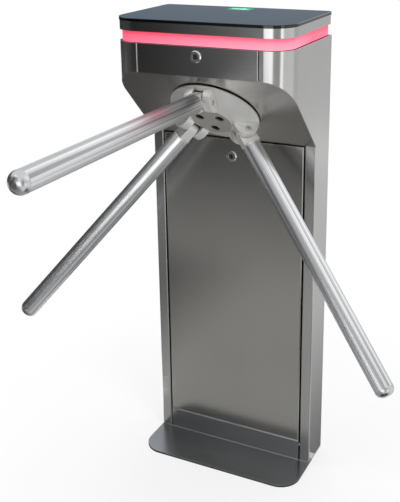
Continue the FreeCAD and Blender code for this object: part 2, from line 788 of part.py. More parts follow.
# Bearing housing and its two ball bearings
def bearing_levels():
    """Low and high expression of the front and the rear bearing."""
    front = f"({HOUSING_FRONT} - bearing_sink)"
    rear = f"({HOUSING_FRONT} - housing_length + bearing_sink)"
    return (f"({front} - bearing_width)", front), (rear, f"({rear} + bearing_width)")


def bearings():
    back = f"({HOUSING_FRONT} - housing_length)"
    front_seat, rear_seat = bearing_levels()
    body = turned([
        ("bearing_radius", HOUSING_FRONT), ("housing_flange_radius", HOUSING_FRONT),
        ("housing_flange_radius", "-plate_depth"), ("housing_radius", "-plate_depth"),
        ("housing_radius", back),
        ("bearing_radius", back), ("bearing_radius", rear_seat[1]), ("housing_land", rear_seat[1]),
        ("housing_land", front_seat[0]), ("bearing_radius", front_seat[0])])
    node("bearing_housing", cut(body, *bolt_holes(housing_bolt_places())), HUB)
    outer_bore, inner_top = "(bearing_radius - race_thickness)", "(shaft_radius + race_thickness)"
    outer, inner, rolling = [], [], []
    for low, high in (front_seat, rear_seat):
        outer.append(cut(rod("bearing_radius", "z", low, high), rod(outer_bore, "z", low, high)))
        inner.append(cut(rod(inner_top, "z", low, high), rod("shaft_radius", "z", low, high)))
        middle, track = f"(({low} + {high})/2)", "(bearing_radius + shaft_radius)/2"
        thick = (f"{middle} - cage_thickness/2", f"{middle} + cage_thickness/2")
        cage = cut(rod(f"{track} + cage_width/2", "z", *thick),
                   rod(f"{track} - cage_width/2", "z", *thick))
        balls = []
        for number in range(int(size["ball_count"])):
            ball = doc.addObject("Part::Sphere", "Ball")
            ball.setExpression("Radius", ref("ball_radius"))
            angle = f"({number}*360/ball_count)"
            ball.Placement = about_axis(360 * number / size["ball_count"])
            bind_base(ball, f"{track}*cos({angle})", f"{track}*sin({angle})", middle)
            balls.append(ball)
        rolling.append(fuse(cage, *balls))
    node("bearing_outer_races", group(*outer), HUB)
    node("bearing_inner_races", group(*inner), HUB)
    node("bearing_balls", group(*rolling), HUB)


def housing_bolt_places():
    """The bolts' places on the housing's flange, as expressions."""
    side = "housing_bolt_circle*sqrt(2)/2"
    return [(f"{x}*{side}", f"{y}*{side}") for x in (-1, 1) for y in (-1, 1)]


def bolt_holes(places):
    return [rod("bolt_radius + bolt_clearance", "z", "-2*plate_depth", 0, *place) for place in places]


def bracket_bolt_places():
    side = f"({PLATE_SIDE} - bolt_inset)"
    return [(f"{x}*{side}", f"{y}*bolt_spacing/2") for x in (-1, 1) for y in (-1, 1)]


# Mechanism plate, the two brackets that hang it from the sides, and its bolts
def mechanism_plate():
    slab = box((f"-{PLATE_SIDE}", PLATE_SIDE), ("-plate_length/2", "plate_length/2"),
               (PLATE_BACK, "-plate_depth"))
    bore = rod("housing_radius + fit_gap", "z", "-2*plate_depth", 0)
    pin_holes = [rod(radius, "z", "-2*plate_depth", 0, *place) for radius, place in pin_places()]
    holes = bolt_holes(housing_bolt_places() + bracket_bolt_places())
    node("mechanism_plate", cut(slab, bore, *pin_holes, *holes), HUB)
    along = ("-bracket_length/2", "bracket_length/2")
    back = f"({PLATE_BACK} - bracket_wall)"
    flange = box((f"{INNER_SIDE} - bracket_flange", INNER_SIDE), along, (back, PLATE_BACK))
    web = box((f"{INNER_SIDE} - bracket_wall", INNER_SIDE), along, (f"{back} - bracket_depth", PLATE_BACK))
    right = cut(fuse(flange, web), *bolt_holes(bracket_bolt_places()))
    node("mechanism_brackets", group(right, mirrored(right)), HUB)
    bolts = [bolt(HOUSING_FRONT, PLATE_BACK, place) for place in housing_bolt_places()]
    bolts += [bolt("-plate_depth", back, place) for place in bracket_bolt_places()]
    node("mechanism_bolts", group(*bolts), HUB)


def bolt(front, back, place):
    """A hexagon bolt with its nut, clamped between two levels."""
    head = hexagon("bolt_head_radius", front, f"{front} + bolt_head_height", *place)
    shank = rod("bolt_radius", "z", f"{back} - bolt_head_height", front, *place)
    nut = hexagon("bolt_head_radius", f"{back} - bolt_head_height", back, *place)
    return fuse(head, shank, nut)


# Locking disc: six notches, and a nut that holds it and the gear on the shaft
def locking_disc():
    disc = rod("disc_radius", "z", DISC_BACK, "-disc_depth")
    notches = []
    for number in range(2 * TRIPOD):
        notch = box(("disc_radius - notch_depth", "disc_radius + wall"), ("-notch_width/2", "notch_width/2"),
                    (f"{DISC_BACK} - wall", "wall - disc_depth"))
        notches.append(placed(about_axis(180 * (number + 0.5) / TRIPOD), notch))
    node("locking_disc", cut(disc, rod("shaft_tail_radius", "z", "-shaft_tail", 0), *notches), HUB)
    nut = hexagon("nut_radius", f"{GEAR_BACK} - nut_length", GEAR_BACK)
    node("shaft_nut", cut(nut, rod("shaft_tail_radius", "z", "-shaft_tail", 0)), HUB)


# Gears: involute teeth, a 3 to 1 pair that turns the crank once for each passage
def toothed(teeth, first, width):
    """A toothed blank about Z, with the middle of one tooth at the first angle."""
    module, pressure = size["gear_module"], math.radians(size["pressure_angle"])
    pitch = module * teeth / 2
    base, tip, root = pitch * math.cos(pressure), pitch + 0.9 * module, pitch - 1.25 * module
    half = math.pi / (2 * teeth) - size["gear_backlash"] / (2 * pitch)
    start = max(base, root)
    flank_steps = 4

    def half_angle(radius):
        slant = math.acos(min(base / radius, 1))
        return half + math.tan(pressure) - pressure - math.tan(slant) + slant

    radii = [start + (tip - start) * step / flank_steps for step in range(flank_steps + 1)]
    flank = [(root, half_angle(start))] * (root < start) + [(radius, half_angle(radius)) for radius in radii]
    corners = []
    for tooth in range(teeth):
        middle = math.radians(first) + 2 * math.pi * tooth / teeth
        corners += [(radius, middle - angle) for radius, angle in flank]
        corners += [(radius, middle + angle) for radius, angle in reversed(flank)]
    points = [Vector(radius * math.cos(angle), radius * math.sin(angle), 0) for radius, angle in corners]
    face = Part.Face(Part.makePolygon(points + points[:1]))
    return face.extrude(Vector(0, 0, width))


def crank_centre():
    """The crank axle's place beside the shaft."""
    centres = size["gear_module"] * (size["main_teeth"] + size["crank_teeth"]) / 2 + size["mesh_play"]
    angle = math.radians(size["crank_angle"])
    return Vector(centres * math.cos(angle), centres * math.sin(angle), 0)


def gears():
    gear_back = -(size["disc_depth"] + size["disc_thickness"] + size["gear_boss"] + size["gear_width"])
    blank = toothed(int(size["main_teeth"]), size["crank_angle"], size["gear_width"])
    boss = Part.makeCylinder(size["gear_boss_radius"], size["gear_width"] + size["gear_boss"])
    bore = Part.makeCylinder(size["shaft_tail_radius"], size["gear_width"] + size["gear_boss"])
    gear = doc.addObject("Part::Feature", "MainGear")
    gear.Shape = blank.fuse(boss).cut(bore)
    node("main_gear", gear, HUB * Placement(Vector(0, 0, gear_back), Rotation()))

    facing = size["crank_angle"] + 180 + 180 / size["crank_teeth"]
    width, disc = size["crank_width"], size["crank_disc"]
    blank = toothed(int(size["crank_teeth"]), facing, width)
    web = Part.makeCylinder(size["crank_disc_radius"], disc, Vector(0, 0, -disc))
    pin_z = -disc - size["crank_pin_length"]
    pin_foot = Vector(size["crank_throw"], 0, pin_z)
    pin = Part.makeCylinder(size["crank_pin_radius"], size["crank_pin_length"], pin_foot)
    bore = Part.makeCylinder(size["axle_radius"] + size["running_gap"], disc + width, Vector(0, 0, -disc))
    crank = doc.addObject("Part::Feature", "CrankGear")
    crank.Shape = blank.fuse([web, pin]).cut(bore)
    level = gear_back + (size["gear_width"] - width) / 2
    node("crank_gear", crank, HUB * Placement(crank_centre() + Vector(0, 0, level), Rotation()))


# Fixed pins of the mechanism: the crank's axle, the spring's post and the pawls' pivots
def pin_places():
    """Radius and place of each fixed pin, as expressions."""
    centre = crank_centre()
    post_x = f"{centre.x} + crank_throw + spring_length"
    pivot = [pawl_point("pawl_circle", "-pawl_lead", side) for side in (-1, 1)]
    return [("axle_radius", (centre.x, centre.y)), ("crank_pin_radius", (post_x, centre.y)),
            ("pawl_pin_radius", pivot[0]), ("pawl_pin_radius", pivot[1])]


def fixed_pins():
    disc_low = f"({GEAR_BACK} + (gear_width - crank_width)/2 - crank_disc)"
    spring_low = f"({disc_low} - crank_pin_length)"
    ends = [f"{disc_low} - axle_tail", spring_low, f"{DISC_BACK} - pin_tail", f"{DISC_BACK} - pin_tail"]
    pins = [rod(radius, "z", end, "-plate_depth", *place) for (radius, place), end in zip(pin_places(), ends)]
    node("mechanism_pins", group(*pins), HUB)


# Centring spring between the crank's pin and its post, as a plain sleeve with an eye at each end
def centring_spring():
    centre = crank_centre()
    near, far = f"({centre.x} + crank_throw)", f"({centre.x} + crank_throw + spring_length)"
    level = f"({GEAR_BACK} + (gear_width - crank_width)/2 - crank_disc - crank_pin_length/2)"
    eye_low, eye_high = f"{level} - eye_width/2", f"{level} + eye_width/2"
    eye_bore = "(crank_pin_radius + eye_gap)"
    eye_radius = "(crank_pin_radius + eye_gap + spring_wire)"
    coil_ends = (f"{near} + {eye_radius} - eye_gap", f"{far} - {eye_radius} + eye_gap")
    hollow_ends = (f"{near} + {eye_radius} + eye_width", f"{far} - {eye_radius} - eye_width")
    coil = cut(rod("spring_radius", "x", *coil_ends, centre.y, level),
               rod("spring_radius - spring_wire", "x", *hollow_ends, centre.y, level))
    eyes = [rod(eye_radius, "z", eye_low, eye_high, end, centre.y) for end in (near, far)]
    through = (f"{level} - 2*spring_radius", f"{level} + 2*spring_radius")
    bores = [rod(eye_bore, "z", *through, end, centre.y) for end in (near, far)]
    node("centring_spring", cut(fuse(coil, *eyes), *bores), HUB)


# Locking pawls: each swings into a notch, pushed by a solenoid's plunger
PAWL_ANGLE = 30


def pawl_point(radial, tangential, side):
    """A place on the lower left or lower right of the disc, as expressions in the rotor's frame."""
    cosine, sine = f"cos({PAWL_ANGLE})", f"sin({PAWL_ANGLE})"
    across = f"{side}*(({radial})*{cosine} + ({tangential})*{sine})"
    up = f"(({tangential})*{cosine} - ({radial})*{sine})"
    return across, up


def pawl_frame():
    """X out along the right pawl's radius."""
    return about_axis(-PAWL_ANGLE)


def pawls():
    levels = (DISC_BACK, "-disc_depth")
    half = "pawl_width/2"
    lever = box((f"pawl_circle - {half}", f"pawl_circle + {half}"), ("-pawl_lead", "pawl_tail"), levels)
    tooth = box(("disc_radius + tooth_gap", "pawl_circle"), ("-tooth_width/2", "tooth_width/2"), levels)
    boss = rod("pawl_boss", "z", *levels, "pawl_circle", "-pawl_lead")
    hole = rod("pawl_pin_radius + running_gap", "z", "-shaft_tail", 0, "pawl_circle", "-pawl_lead")
    right = placed(pawl_frame(), cut(fuse(lever, tooth, boss), hole))
    node("left_pawl", mirrored(right), HUB)
    node("right_pawl", group(right), HUB)


def solenoids():
    inner = "(pawl_circle + pawl_width/2 + solenoid_gap)"
    outer = f"({inner} + solenoid_length)"
    across = ("plunger_offset - solenoid_width/2", "plunger_offset + solenoid_width/2")
    narrow = ("plunger_offset - pedestal_width/2", "plunger_offset + pedestal_width/2")
    level = "(-disc_depth - disc_thickness/2)"
    low, high = f"{level} - solenoid_width/2", f"{level} + solenoid_width/2"
    tip = "(pawl_circle + pawl_width/2 + plunger_gap)"
    coil = box((inner, outer), across, (low, high))
    pedestal = box((f"{inner} + wall", f"{outer} - wall"), narrow, (high, PLATE_BACK))
    bore = rod("plunger_radius + running_gap", "x", f"{inner} - wall", f"{tip} + plunger_length + wall",
               "plunger_offset", level)
    frame = placed(pawl_frame(), cut(fuse(coil, pedestal), bore))
    node("solenoids", group(frame, mirrored(frame)), HUB)
    dome = doc.addObject("Part::Sphere", "Dome")
    dome.setExpression("Radius", ref("plunger_radius"))
    bind_base(dome, f"{tip} + plunger_radius", "plunger_offset", level)
    stem = rod("plunger_radius", "x", f"{tip} + plunger_radius", f"{tip} + plunger_length",
               "plunger_offset", level)
    plunger = placed(pawl_frame(), fuse(dome, stem))
    node("left_plunger", mirrored(plunger), HUB)
    node("right_plunger", group(plunger), HUB)


# Electronics on the inside of the back panel
def electronics():
    back = f"({BACK} - wall)"
    board_back = f"({back} - standoff_length)"
    board_front = f"({board_back} - board_thickness)"
    board_top = "(board_level + board_height)"
    board = box(("-board_width/2", "board_width/2"), (board_front, board_back), ("board_level", board_top))
    relay_z = f"{board_top} - 3*relay_height"
    relays = []
    for place in (-2, -1, 0, 1, 2):
        across = (f"({2 * place} - 0.5)*relay_height", f"({2 * place} + 0.5)*relay_height")
        relays.append(box(across, (f"{board_front} - relay_height", board_front),
                          (relay_z, f"{relay_z} + relay_height")))
    terminals = box(("-board_width/3", "board_width/3"), (f"{board_front} - terminal_height", board_front),
                    ("board_level", "board_level + terminal_height"))
    node("control_board", fuse(board, terminals, *relays))
    side = "(board_width/2 - standoff_inset)"
    levels = ("board_level + standoff_inset", f"{board_top} - standoff_inset")
    standoffs = [rod("standoff_radius", "y", board_back, back, f"{x}*{side}", level)
                 for x in (-1, 1) for level in levels]
    node("board_standoffs", group(*standoffs))
    case = box(("-supply_width/2", "supply_width/2"), (f"{back} - supply_depth", back),
               ("supply_level", "supply_level + supply_height"))
    shelf = box(("-supply_width/2", "supply_width/2"), (f"{back} - supply_depth", f"{back} - supply_depth/2"),
                ("supply_level", "supply_level + terminal_height"))
    node("power_supply", cut(case, shelf))


for build in (base_plate, side_panels, back_panel, slope_panel, head_front_panel, kick_panel, door_lintel,
              door_panel, key_locks, lid, lid_hinges, rotor_hub, hub_screws, arm_pins, shaft, bearings,
              mechanism_plate, locking_disc, gears, fixed_pins, centring_spring, pawls, solenoids,
              electronics):
    build()
for arm_number in range(TRIPOD):
    arm(arm_number)
doc.recompute()

failed = [obj.Label for obj in doc.Objects if {"Invalid", "Error"} & set(obj.State)]
failed += [label for label, obj in nodes.items() if obj.Shape.isNull() or not obj.Shape.isValid()]
if failed:
    raise RuntimeError(f"not built: {failed}")
for label, obj in nodes.items():
    print(f"{label}: {len(obj.Shape.Solids)} solid, {obj.Shape.Volume / 1000:.1f} cm3")
    obj.Shape.exportStep(f"parts/{label}.step")
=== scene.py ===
import math
import bpy
import bmesh
from mathutils import Matrix, Vector


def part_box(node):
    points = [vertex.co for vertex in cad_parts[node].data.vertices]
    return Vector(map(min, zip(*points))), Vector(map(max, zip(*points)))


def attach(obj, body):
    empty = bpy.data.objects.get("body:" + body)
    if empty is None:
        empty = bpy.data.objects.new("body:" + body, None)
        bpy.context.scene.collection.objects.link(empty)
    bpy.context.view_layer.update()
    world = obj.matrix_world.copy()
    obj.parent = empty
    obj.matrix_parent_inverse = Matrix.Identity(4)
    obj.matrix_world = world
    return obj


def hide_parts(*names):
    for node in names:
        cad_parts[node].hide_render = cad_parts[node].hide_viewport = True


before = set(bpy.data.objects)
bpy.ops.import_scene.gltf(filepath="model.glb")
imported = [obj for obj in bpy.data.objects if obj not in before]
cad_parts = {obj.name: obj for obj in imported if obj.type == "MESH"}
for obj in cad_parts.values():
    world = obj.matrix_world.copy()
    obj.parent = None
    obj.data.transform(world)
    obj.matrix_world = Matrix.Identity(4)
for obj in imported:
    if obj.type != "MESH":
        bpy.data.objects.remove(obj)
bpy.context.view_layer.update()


# Base plate: 5 mm stainless plate with a rounded apron in front, cut by laser and brushed along its length.
# The column is welded on it, and anchors go through its holes into the floor.
def linear(code):
    """The linear colour of an sRGB hex value."""
    channels = [int(code[i:i + 2], 16) / 255 for i in (1, 3, 5)]
    return [c / 12.92 if c <= 0.04045 else ((c + 0.055) / 1.055) ** 2.4 for c in channels] + [1.0]


def add(tree, kind, sockets=None, **settings):
    """Adds a shader node with its settings, and fills or links its sockets."""
    made = tree.nodes.new("ShaderNode" + kind)
    for setting, value in settings.items():
        setattr(made, setting, value)
    for socket, value in (sockets or {}).items():
        if isinstance(value, bpy.types.NodeSocket):
            tree.links.new(value, made.inputs[socket])
        else:
            made.inputs[socket].default_value = value
    return made


def begin(name):
    """A material with an empty tree."""
    material = bpy.data.materials.new(name)
    material.use_nodes = True
    material.node_tree.nodes.clear()
    return material, material.node_tree


def coat(material, *names):
    """Puts a material on the named CAD nodes."""
    for name in names:
        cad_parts[name].material_slots[0].material = material


# Brushed stainless: the belt leaves fine lines along the sheet, so it is a soft mirror that smears across
# them, a little cloudy over a hand's width, with rounded edges that catch the light.
# The real lines are about 0.1 mm apart; they are drawn 1.2 mm apart here so that they show.
def brushed_stainless(name, grain, dark, light, rough, smear=0.0):
    """Stainless brushed along one axis, between two tones; smear is how far its highlights spread."""
    line, run, cloud = 0.0012, 0.3, 0.16
    line_depth, edge, uneven = 0.0002, 0.0008, 0.01
    material, tree = begin(name)
    place = add(tree, "TexCoord").outputs["Object"]
    lines = [1 / line] * 3
    lines[grain] = 1 / run
    stretched = add(tree, "Mapping", {"Vector": place, "Scale": lines}).outputs[0]
    streaks = add(tree, "TexNoise", {"Vector": stretched, "Scale": 1.0, "Detail": 3.0,
                                     "Roughness": 0.6}).outputs[0]
    clouds = add(tree, "TexNoise", {"Vector": place, "Scale": 1 / cloud, "Detail": 1.0}).outputs[0]
    blend = add(tree, "Math", {0: streaks, 1: clouds}, operation="ADD").outputs[0]
    share = add(tree, "MapRange", {"Value": blend, "From Min": 0.6, "From Max": 1.4}).outputs[0]
    tone = add(tree, "Mix", {0: share, 6: linear(dark), 7: linear(light)}, data_type="RGBA").outputs[2]
    sheen = add(tree, "MapRange", {"Value": streaks, "From Min": 0.3, "From Max": 0.7,
                                   "To Min": rough - uneven, "To Max": rough + uneven}).outputs[0]
    edges = add(tree, "Bevel", {"Radius": edge}, samples=4).outputs[0]
    relief = add(tree, "Bump", {"Height": streaks, "Strength": 0.002, "Distance": line_depth,
                                "Normal": edges}).outputs[0]
    around = add(tree, "Tangent", direction_type="RADIAL", axis="Z").outputs[0]
    metal = add(tree, "BsdfPrincipled", {"Base Color": tone, "Metallic": 1.0, "Roughness": sheen,
                                         "Normal": relief, "Tangent": around, "Anisotropic": smear,
                                         "Anisotropic Rotation": 0.25})
    add(tree, "OutputMaterial", {"Surface": metal.outputs[0]})
    return material


ALONG_X, ALONG_Z = 0, 2
plate_sheet = brushed_stainless("plate_stainless", ALONG_X, "#9a9c9f", "#a2a4a7", rough=0.26, smear=0.2)
coat(plate_sheet, "base_plate")

# Cabinet: 2 mm brushed stainless sheet, folded and rolled, with the grain up the sides and the back.
# The sides wrap the head's front corners; the slope, the head's front, the lintel and the kick strip lie
# between them and are brushed across.
upright_sheet = brushed_stainless("upright_stainless", ALONG_Z, "#b3b3b2", "#bbbbba", rough=0.23, smear=0.6)
coat(upright_sheet, "left_side_panel", "right_side_panel", "back_panel")
slope_sheet = brushed_stainless("slope_stainless", ALONG_X, "#a5a39f", "#adaba8", rough=0.24)
coat(slope_sheet, "slope_panel")
front_sheet = brushed_stainless("front_stainless", ALONG_X, "#a6a6a6", "#aeaeae", rough=0.22, smear=0.6)
coat(front_sheet, "head_front_panel", "kick_panel", "door_lintel")


# Foot seam: the weld bead that joins the kick strip and the sides to the plate along the front.
# It is a small round bead with a ripple for each dip of the filler rod, brushed bright afterwards.
def loft(shape, rings):
    """Joins a row of rings of points by faces, and closes both ends."""
    for near, far in zip(rings, rings[1:]):
        for i in range(len(near)):
            j = (i + 1) % len(near)
            shape.faces.new((near[i], near[j], far[j], far[i]))
    shape.faces.new(rings[0])
    shape.faces.new(rings[-1])


def piece(name, shape, material, body, crease=35):
    """Makes a shape a piece that rides on a body, smooth but for edges sharper than the crease angle."""
    bmesh.ops.recalc_face_normals(shape, faces=shape.faces)
    mesh = bpy.data.meshes.new(name)
    shape.to_mesh(mesh)
    shape.free()
    mesh.polygons.foreach_set("use_smooth", [True] * len(mesh.polygons))
    mesh.set_sharp_from_angle(angle=math.radians(crease))
    mesh.materials.append(material)
    made = bpy.data.objects.new(name, mesh)
    bpy.context.scene.collection.objects.link(made)
    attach(made, body)
    return made


bead, ripple, half_length = 0.0011, 0.0016, 0.1885
crest, dip, run_out = 1.0, 0.93, 0.6
column_front, plate_top = -0.04, 0.005
arc_angles = [math.radians(angle) for angle in range(0, 91, 18)]
seam = bmesh.new()
sections = []
for i in range(int(2 * half_length / ripple) * 2 + 1):
    along = -half_length + i * ripple / 2
    share = run_out
    if abs(along) < half_length - ripple:
        share = crest if i % 2 else dip
    swell = bead * share
    arc = [(along, column_front - swell * math.cos(a), plate_top + swell * math.sin(a)) for a in arc_angles]
    corner = (along, column_front, plate_top)
    sections.append([seam.verts.new(spot) for spot in arc + [corner]])
loft(seam, sections)
piece("foot_seam", seam, plate_sheet, "cabinet", crease=60)

# Service door: a folded tray of the same stainless sheet, brushed upwards, that closes the column's front.
# It stands on the kick strip's ledge, and a key lock holds it at its top.
door_sheet = brushed_stainless("door_stainless", ALONG_Z, "#a9a8a4", "#b0afab", rough=0.2)
coat(door_sheet, "door_panel")


# Key locks: die-cast zinc barrels, chrome plated, each with a turning brass plug, nickel plated, and a steel
# cam behind it. Plating over a casting gives a hard bright edge with a slightly uneven face.
def bright_metal(name, dark, light, rough, spot=0.004, edge=0.0004):
    """Smooth metal with faint stains of one size, between two tones, and slightly rounded edges."""
    stain_depth, uneven = 0.0003, 0.03
    material, tree = begin(name)
    place = add(tree, "TexCoord").outputs["Object"]
    stains = add(tree, "TexNoise", {"Vector": place, "Scale": 1 / spot, "Detail": 2.0}).outputs[0]
    tone = add(tree, "Mix", {0: stains, 6: linear(dark), 7: linear(light)}, data_type="RGBA").outputs[2]
    sheen = add(tree, "MapRange", {"Value": stains, "From Min": 0.3, "From Max": 0.7,
                                   "To Min": rough * (1 - uneven),
                                   "To Max": rough * (1 + uneven)}).outputs[0]
    edges = add(tree, "Bevel", {"Radius": edge}, samples=4).outputs[0]
    relief = add(tree, "Bump", {"Height": stains, "Strength": 0.02, "Distance": stain_depth,
                                "Normal": edges}).outputs[0]
    metal = add(tree, "BsdfPrincipled", {"Base Color": tone, "Metallic": 1.0, "Roughness": sheen,
                                         "Normal": relief})
    add(tree, "OutputMaterial", {"Surface": metal.outputs[0]})
    return material


# Chrome is a pale mirror, the plugs' nickel is a dark grey, and zinc plating is a cloudy soft grey.
chrome = bright_metal("chrome_plating", "#d0d1d2", "#eeeff0", rough=0.16, edge=0.0008)
coat(chrome, "door_lock_barrel", "head_lock_barrel")
nickel = bright_metal("nickel_plating", "#3c3b39", "#6c6b68", rough=0.3)
coat(nickel, "door_lock_plug", "head_lock_plug")
zinc = bright_metal("zinc_plated_steel", "#9da1a4", "#c6c9cb", rough=0.32, spot=0.012)
coat(zinc, "door_lock_cam", "head_lock_cam")

# Rotor hub: sand-cast aluminium, shot blasted, fixed to the shaft by three sunk cap screws.
# Blasting rounds the edges and leaves a matt pale skin with a fine grain, drawn at 1.2 mm so that it shows.
# The machined front face is painted greyer than the skin, as painted shade for a face that looks forward and
# down, and the narrow gaps between parts are painted near black, as painted shade.
# The slope stands at 45 degrees, and the rotor's axis crosses it 5.5 mm below its middle, measured along it.
diagonal = math.sqrt(0.5)
slope_y, slope_z, hub_drop = -0.120, 0.834, 0.0055
hub_centre = Vector((0, slope_y + diagonal * hub_drop, slope_z - diagonal * hub_drop))
hub_turn = Matrix.Rotation(math.radians(135), 3, "X")
hub_axis = hub_turn @ Vector((0, 0, 1))
face_height, face_depth = 0.0265, 0.0003
grit_size, grit_depth, pour_size, gap_size, cast_edge = 0.0012, 0.0003, 0.035, 0.006, 0.001
hub_metal, tree = begin("blasted_cast_aluminium")
place = add(tree, "TexCoord").outputs["Object"]
grit = add(tree, "TexNoise", {"Vector": place, "Scale": 1 / grit_size, "Detail": 3.0}).outputs[0]
pour = add(tree, "TexNoise", {"Vector": place, "Scale": 1 / pour_size, "Detail": 2.0}).outputs[0]
skin = add(tree, "Mix", {0: pour, 6: linear("#dcdbd8"), 7: linear("#f2f2f0")}, data_type="RGBA").outputs[2]
level = add(tree, "VectorMath", {0: place, 1: hub_axis}, operation="DOT_PRODUCT").outputs["Value"]
face_level = hub_centre.dot(hub_axis) + face_height
# Painted shade: the front face, which looks forward and down, is painted a greyer tone than the skin.
shaded_face = add(tree, "Math", {0: level, 1: face_level, 2: face_depth}, operation="COMPARE").outputs[0]
skin_with_face_shade = add(tree, "Mix", {0: shaded_face, 6: skin, 7: linear("#b4b2ae")}, data_type="RGBA").outputs[2]
# Painted shade: in the narrow gaps, where other surfaces are near, the colour goes near black.
gap = add(tree, "AmbientOcclusion", {"Distance": gap_size}, samples=4).outputs["AO"]
out_of_gap_shade = add(tree, "MapRange", {"Value": gap, "From Min": 0.25, "From Max": 0.6}).outputs[0]
tone = add(tree, "Mix", {0: out_of_gap_shade, 6: linear("#2a2927"), 7: skin_with_face_shade}, data_type="RGBA").outputs[2]
sheen = add(tree, "MapRange", {"Value": grit, "To Min": 0.52, "To Max": 0.56}).outputs[0]
edges = add(tree, "Bevel", {"Radius": cast_edge}, samples=4).outputs[0]
relief = add(tree, "Bump", {"Height": grit, "Strength": 0.1, "Distance": grit_depth,
                            "Normal": edges}).outputs[0]
metal = add(tree, "BsdfPrincipled", {"Base Color": tone, "Metallic": 1.0, "Roughness": sheen,
                                     "Normal": relief})
add(tree, "OutputMaterial", {"Surface": metal.outputs[0]})
coat(hub_metal, "rotor_hub", "arm_1_tongue", "arm_2_tongue", "arm_3_tongue", "bearing_housing")

# Turned steel has a soft grey shine, the arms' pins are brighter, and blackened cap screws are near black.
turned_steel = bright_metal("turned_steel", "#8c8c8c", "#b3b3b3", rough=0.28, spot=0.003)
coat(turned_steel, "hinge_pins", "mechanism_pins", "shaft", "shaft_nut")
pin_steel = bright_metal("bright_pin_steel", "#bdbdbc", "#d8d8d7", rough=0.3, spot=0.003)
coat(pin_steel, "arm_pins")
black_steel = bright_metal("blackened_screw_steel", "#09090a", "#151516", rough=0.5)
coat(black_steel, "hub_screws")


# Pin screws: a low button screw in each end of an arm's pin keeps it from walking out of the ears.
# Stainless steel, turned, with a broached hexagon socket: a small bright dome with a dark middle.
def button_screw(shape, place, radius, height):
    """Adds a low dome with a hexagon socket that stands on the plane of place, with its axis along Z."""
    count, half_flats, socket_floor = 24, 0.42, 0.2
    sixth = math.pi / 3
    angles = [2 * math.pi * i / count for i in range(count)]
    socket = [half_flats / math.cos((a + sixth / 2) % sixth - sixth / 2) for a in angles]
    # Each ring's share of the radius, and of the height.
    dome = ((1.0, 0.0), (1.0, 0.35), (0.9, 0.75), (0.68, 1.0))
    outlines = [([share] * count, level) for share, level in dome] + [(socket, 1.0), (socket, socket_floor)]
    rings = []
    for shares, level in outlines:
        flat = [(s * radius * math.cos(a), s * radius * math.sin(a)) for s, a in zip(shares, angles)]
        rings.append([shape.verts.new(place @ Vector((x, y, level * height))) for x, y in flat])
    loft(shape, rings)


screw_steel = bright_metal("turned_stainless_screw", "#a9aaab", "#cfd0d0", rough=0.26, spot=0.002,
                           edge=0.0002)
pin_reach, pin_height, pin_end = 0.073, 0.026, 0.0289
pin_screws = bmesh.new()
for number in range(3):
    third = Matrix.Rotation(math.radians(120 * number), 4, "Z")
    rotor = Matrix.Translation(hub_centre) @ hub_turn.to_4x4() @ third
    for side in (1, -1):
        outwards = Matrix.Rotation(side * math.radians(90), 4, "Y")
        seat = Matrix.Translation((side * pin_end, pin_reach, pin_height)) @ outwards
        button_screw(pin_screws, rotor @ seat, radius=0.0048, height=0.0011)
piece("arm_pin_screws", pin_screws, screw_steel, "rotor")


# Arms: 38 mm stainless tube, polished along its length, with a domed cap pressed into its end.
# The polish leaves long thin streaks, so that reflections spread round the tube into bright and dark lines.
# The real streaks are under 0.5 mm wide; they are drawn 2 and 6 mm wide here so that they show.
def polished_tube(name, pivot, along, rough):
    """Tube metal with streaks along a direction, laid out from the arm's pivot."""
    line, line_run, line_share = 0.002, 0.9, 0.7
    band, band_run = 0.006, 1.8
    uneven = 0.01
    material, tree = begin(name)
    place = add(tree, "TexCoord").outputs["Object"]
    turn = Vector((0, 0, 1)).rotation_difference(Vector(along)).inverted().to_euler()
    centred = add(tree, "VectorMath", {0: place, 1: pivot}, operation="SUBTRACT").outputs[0]
    straight = add(tree, "VectorRotate", {"Vector": centred, "Rotation": turn},
                   rotation_type="EULER_XYZ").outputs[0]
    thin = add(tree, "Mapping", {"Vector": straight, "Scale": [1 / line, 1 / line, 1 / line_run]}).outputs[0]
    wide = add(tree, "Mapping", {"Vector": straight, "Scale": [1 / band, 1 / band, 1 / band_run]}).outputs[0]
    lines = add(tree, "TexNoise", {"Vector": thin, "Scale": 1.0, "Detail": 2.0}).outputs[0]
    bands = add(tree, "TexNoise", {"Vector": wide, "Scale": 1.0, "Detail": 1.0}).outputs[0]
    both = add(tree, "Math", {0: lines, 1: line_share, 2: bands}, operation="MULTIPLY_ADD").outputs[0]
    streaks = add(tree, "MapRange", {"Value": both, "From Min": 0.65, "From Max": 1.05}).outputs[0]
    tone = add(tree, "Mix", {0: streaks, 6: linear("#a4a5a8"), 7: linear("#f0f1f2")},
               data_type="RGBA").outputs[2]
    sheen = add(tree, "MapRange", {"Value": streaks, "To Min": rough + uneven, "To Max": rough}).outputs[0]
    lengthwise = add(tree, "VectorTransform", {"Vector": along}, vector_type="VECTOR",
                     convert_from="OBJECT", convert_to="WORLD").outputs[0]
    metal = add(tree, "BsdfPrincipled", {"Base Color": tone, "Metallic": 1.0, "Roughness": sheen,
                                         "Tangent": lengthwise, "Anisotropic": 0.9,
                                         "Anisotropic Rotation": 0.25})
    add(tree, "OutputMaterial", {"Surface": metal.outputs[0]})
    return material


# The arm across the way is a little duller than the other two. The caps are satin, without streaks.
cap_metal = bright_metal("satin_cap_steel", "#bcbdbe", "#d4d5d6", rough=0.3)
for number, rough in ((1, 0.4), (2, 0.3), (3, 0.3)):
    third = Matrix.Rotation(math.radians(120 * (number - 1)), 3, "Z")
    pivot = hub_centre + hub_turn @ third @ Vector((0, pin_reach, pin_height))
    along = hub_turn @ third @ Vector((0, diagonal, diagonal))
    coat(polished_tube(f"polished_tube_{number}", pivot, along, rough), f"arm_{number}_tube")
    coat(cap_metal, f"arm_{number}_cap")

